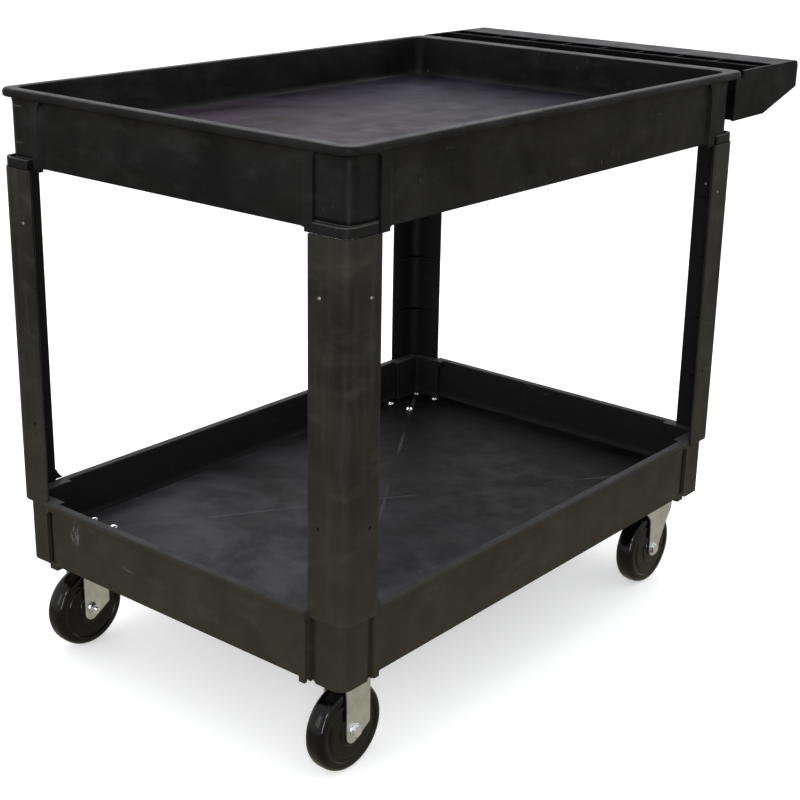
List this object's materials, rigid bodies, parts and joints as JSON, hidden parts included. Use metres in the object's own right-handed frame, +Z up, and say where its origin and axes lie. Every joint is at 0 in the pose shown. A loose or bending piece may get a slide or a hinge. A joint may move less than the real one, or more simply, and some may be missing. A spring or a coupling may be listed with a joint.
{
  "type": "rolling utility cart",
  "caption": "Two-tier plastic utility cart: deep tub trays on angle posts, a push handle with pockets, two fixed and two swivelling casters.",
  "frame": {"origin": "on the ground, at the middle of the cart's bounding box in plan", "axes": "+X towards the push handle, +Y to the left when pushing, +Z up; the cart is symmetric about y = 0"},
  "size_m": [1.1475, 0.654, 0.8633],
  "materials": {
    "tray_plastic": "fine pebbled black moulded polyethylene, scuffed",
    "post_plastic": "fine pebbled black moulded polyethylene",
    "handle_plastic": "fine pebbled black moulded polyethylene",
    "wheel_rubber": "hard glossy black caster tyre, moulded in one with its hub",
    "zinc_steel": "zinc-plated pressed steel",
    "bolt_steel": "bright zinc-plated steel",
    "bushing_steel": "plain turned steel"
  },
  "bodies": {
    "cart": {"lower_tray": "tray_plastic", "upper_tray": "tray_plastic", "post_rear_right": "post_plastic", "post_rear_left": "post_plastic", "post_front_right": "post_plastic", "post_front_left": "post_plastic", "push_handle": "handle_plastic", "handle_screw_1": "bolt_steel", "handle_screw_2": "bolt_steel", "handle_screw_3": "bolt_steel", "handle_screw_4": "bolt_steel", "rigid_fork_rear_right": "zinc_steel", "axle_bolt_rear_right": "bolt_steel", "axle_nut_rear_right": "bolt_steel", "caster_plate_front_right": "zinc_steel", "bearing_race_front_right": "zinc_steel", "kingpin_front_right": "bolt_steel", "rigid_fork_rear_left": "zinc_steel", "axle_bolt_rear_left": "bolt_steel", "axle_nut_rear_left": "bolt_steel", "caster_plate_front_left": "zinc_steel", "bearing_race_front_left": "zinc_steel", "kingpin_front_left": "bolt_steel", "carriage_bolt_rear_right_1": "bolt_steel", "carriage_bolt_rear_right_2": "bolt_steel", "carriage_bolt_rear_right_3": "bolt_steel", "carriage_bolt_rear_right_4": "bolt_steel", "carriage_bolt_rear_left_1": "bolt_steel", "carriage_bolt_rear_left_2": "bolt_steel", "carriage_bolt_rear_left_3": "bolt_steel", "carriage_bolt_rear_left_4": "bolt_steel", "carriage_bolt_front_right_1": "bolt_steel", "carriage_bolt_front_right_2": "bolt_steel", "carriage_bolt_front_right_3": "bolt_steel", "carriage_bolt_front_right_4": "bolt_steel", "carriage_bolt_front_left_1": "bolt_steel", "carriage_bolt_front_left_2": "bolt_steel", "carriage_bolt_front_left_3": "bolt_steel", "carriage_bolt_front_left_4": "bolt_steel"},
    "rolling_wheel_rear_right": {"wheel_rear_right": "wheel_rubber", "hub_bushing_rear_right": "bushing_steel"},
    "swivel_front_right": {"swivel_fork_front_right": "zinc_steel", "axle_bolt_front_right": "bolt_steel", "axle_nut_front_right": "bolt_steel"},
    "rolling_wheel_front_right": {"wheel_front_right": "wheel_rubber", "hub_bushing_front_right": "bushing_steel"},
    "rolling_wheel_rear_left": {"wheel_rear_left": "wheel_rubber", "hub_bushing_rear_left": "bushing_steel"},
    "swivel_front_left": {"swivel_fork_front_left": "zinc_steel", "axle_bolt_front_left": "bolt_steel", "axle_nut_front_left": "bolt_steel"},
    "rolling_wheel_front_left": {"wheel_front_left": "wheel_rubber", "hub_bushing_front_left": "bushing_steel"}
  },
  "joints": [
    {"name": "wheel_spin_rear_right", "type": "hinge", "parent": "cart", "child": "rolling_wheel_rear_right", "pos_m": [-0.5012, -0.269, 0.0635], "axis": [0, 1, 0], "continuous": true},
    {"name": "swivel_front_right", "type": "hinge", "parent": "cart", "child": "swivel_front_right", "pos_m": [0.3053, -0.269, 0.1435], "axis": [0, 0, 1], "continuous": true},
    {"name": "wheel_spin_front_right", "type": "hinge", "parent": "swivel_front_right", "child": "rolling_wheel_front_right", "pos_m": [0.2728, -0.269, 0.0635], "axis": [0, 1, 0], "continuous": true},
    {"name": "wheel_spin_rear_left", "type": "hinge", "parent": "cart", "child": "rolling_wheel_rear_left", "pos_m": [-0.5012, 0.269, 0.0635], "axis": [0, 1, 0], "continuous": true},
    {"name": "swivel_front_left", "type": "hinge", "parent": "cart", "child": "swivel_front_left", "pos_m": [0.3053, 0.269, 0.1435], "axis": [0, 0, 1], "continuous": true},
    {"name": "wheel_spin_front_left", "type": "hinge", "parent": "swivel_front_left", "child": "rolling_wheel_front_left", "pos_m": [0.2728, 0.269, 0.0635], "axis": [0, 1, 0], "continuous": true}
  ]
}
